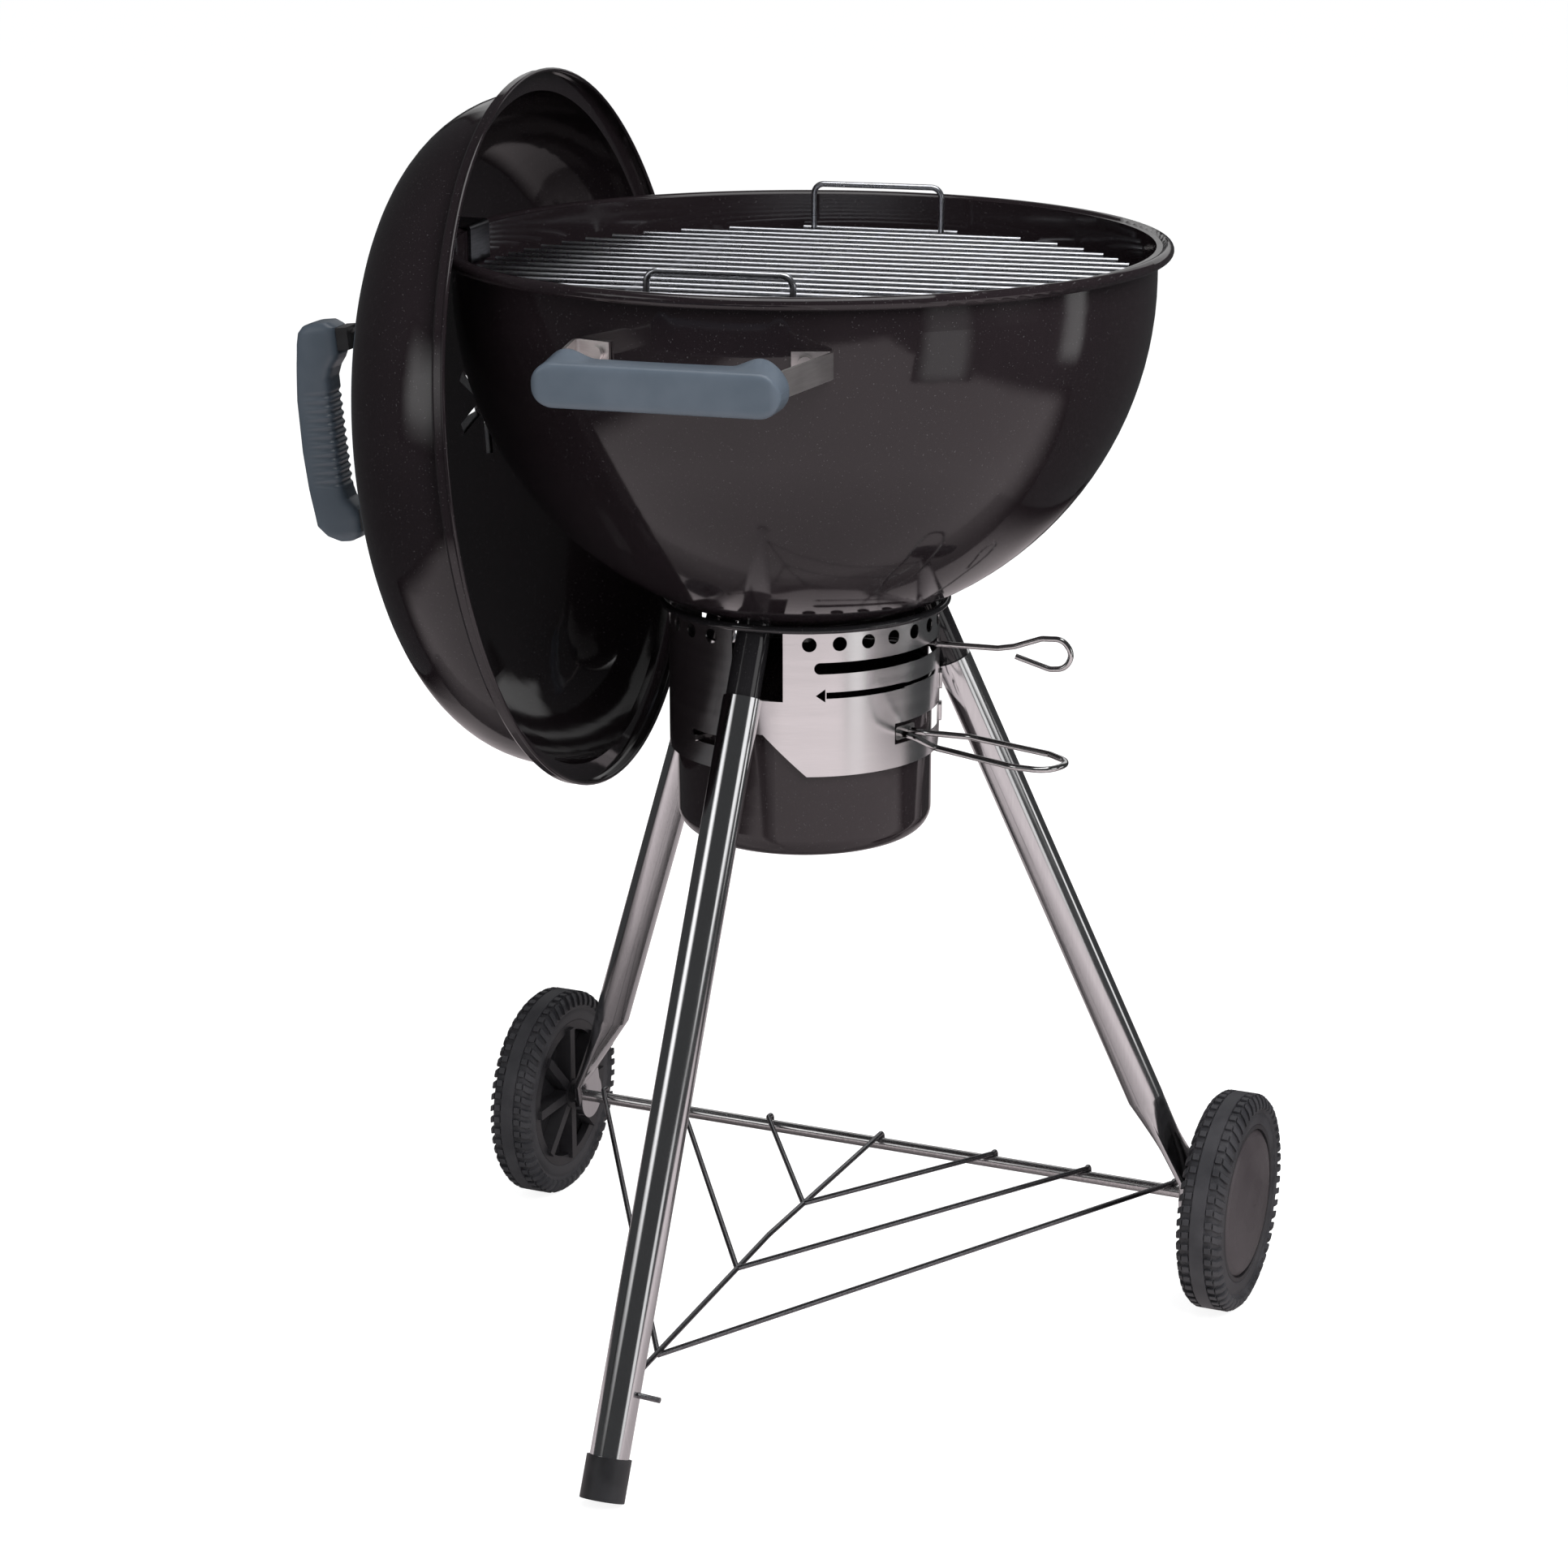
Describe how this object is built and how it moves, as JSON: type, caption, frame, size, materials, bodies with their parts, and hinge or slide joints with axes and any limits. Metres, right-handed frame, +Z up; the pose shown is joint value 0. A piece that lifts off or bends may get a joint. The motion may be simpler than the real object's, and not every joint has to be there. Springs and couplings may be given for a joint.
{
  "type": "kettle charcoal grill",
  "caption": "Round kettle charcoal grill on three chrome legs with two wheels, wire rack, ash bucket under a slotted band, and its domed lid hung beside the bowl.",
  "frame": {"origin": "a point on the small level flat of the front foot, on the ground", "axes": "+Z up, +X along the wheel axle towards the right wheel, +Y from the front foot towards the wheels"},
  "size_m": [0.6336, 0.6414, 0.8488],
  "materials": {
    "bowl_enamel": "glossy vitreous enamel",
    "lid_enamel": "glossy vitreous enamel",
    "bucket_enamel": "glossy vitreous enamel",
    "lid_damper_plate": "satin",
    "socket_paint": "gloss black",
    "leg_chrome": "polished plating",
    "foot_plastic": "moulded",
    "axle_plating": "bright zinc",
    "spacer_plastic": "moulded",
    "rack_wire": "dark plated wire",
    "band_steel": "brushed stainless",
    "grip_plastic": "slate grey, satin",
    "block_plastic": "moulded",
    "bracket_steel": "bright plated",
    "tab_steel": "enamelled",
    "tyre_rubber": "moulded tread",
    "wheel_plastic": "moulded",
    "hubcap_plastic": "satin",
    "small_plating": "zinc plated",
    "hook_steel": "plated",
    "blade_steel": "plain steel",
    "lever_plating": "chrome plated wire",
    "grate_plating": "chrome plated wire",
    "coal_steel": "plain steel rod"
  },
  "bodies": {
    "stand": {"bowl": "bowl_enamel", "leg_sockets": "socket_paint", "socket_hoop": "socket_paint", "leg_front": "leg_chrome", "foot_cap": "foot_plastic", "legs_rear": "leg_chrome", "axle": "axle_plating", "axle_spacers": "spacer_plastic", "push_caps": "axle_plating", "rack_spine": "rack_wire", "rack_arms": "rack_wire", "ash_band": "band_steel", "band_clips": "band_steel", "bowl_grips": "grip_plastic", "bowl_brackets": "bracket_steel", "bracket_bolts": "bracket_steel", "cooking_grate_tabs": "tab_steel", "charcoal_grate_tabs": "tab_steel"},
    "wheel_left_body": {"tyre_left": "tyre_rubber", "wheel_left": "wheel_plastic", "hubcap_left": "hubcap_plastic"},
    "wheel_right_body": {"tyre_right": "tyre_rubber", "wheel_right": "wheel_plastic", "hubcap_right": "hubcap_plastic"},
    "lid_body": {"lid": "lid_enamel", "damper_rivet": "small_plating", "lid_grip": "grip_plastic", "lid_grip_strips": "small_plating", "lid_grip_blocks": "block_plastic", "lid_grip_bolts": "small_plating", "lid_hook": "hook_steel", "hook_rivets": "small_plating"},
    "damper_body": {"lid_damper": "lid_damper_plate"},
    "sweeper_body": {"sweeper_blades": "blade_steel", "sweeper_shaft": "small_plating", "sweeper_collar": "small_plating", "sweeper_nut": "small_plating", "vent_lever": "lever_plating"},
    "bucket_body": {"ash_bucket": "bucket_enamel", "bucket_handle": "lever_plating", "bucket_lugs": "small_plating", "bucket_saddle": "small_plating"},
    "cooking_grate_body": {"cooking_grate": "grate_plating", "cooking_grate_rods": "grate_plating", "grate_handles": "grate_plating"},
    "charcoal_grate_body": {"charcoal_grate": "coal_steel", "charcoal_grate_rods": "coal_steel"}
  },
  "joints": [
    {"name": "wheel_left_spin", "type": "hinge", "parent": "stand", "child": "wheel_left_body", "pos_m": [-0.2634, 0.4378, 0.0762], "axis": [1, 0, 0], "continuous": true},
    {"name": "wheel_right_spin", "type": "hinge", "parent": "stand", "child": "wheel_right_body", "pos_m": [0.2634, 0.4378, 0.0762], "axis": [1, 0, 0], "continuous": true},
    {"name": "lid_lift", "type": "slide", "parent": "stand", "child": "lid_body", "axis": [0, 0, 1], "range_m": [0, 0.06]},
    {"name": "damper_turn", "type": "hinge", "parent": "lid_body", "child": "damper_body", "pos_m": [-0.27361, 0.37612, 0.60881], "axis": [-0.9905, 0.1056, -0.0886], "range_deg": [-16, 14]},
    {"name": "sweeper_turn", "type": "hinge", "parent": "stand", "child": "sweeper_body", "pos_m": [0, 0.3033, 0.486], "axis": [0, 0, 1], "range_deg": [-64, 0]},
    {"name": "bucket_twist", "type": "hinge", "parent": "stand", "child": "bucket_body", "pos_m": [0, 0.3033, 0.4], "axis": [0, 0, 1], "range_deg": [0, 20]},
    {"name": "cooking_grate_lift", "type": "slide", "parent": "stand", "child": "cooking_grate_body", "axis": [0, 0, 1], "range_m": [0, 0.06]},
    {"name": "charcoal_grate_lift", "type": "slide", "parent": "stand", "child": "charcoal_grate_body", "axis": [0, 0, 1], "range_m": [0, 0.08]}
  ]
}
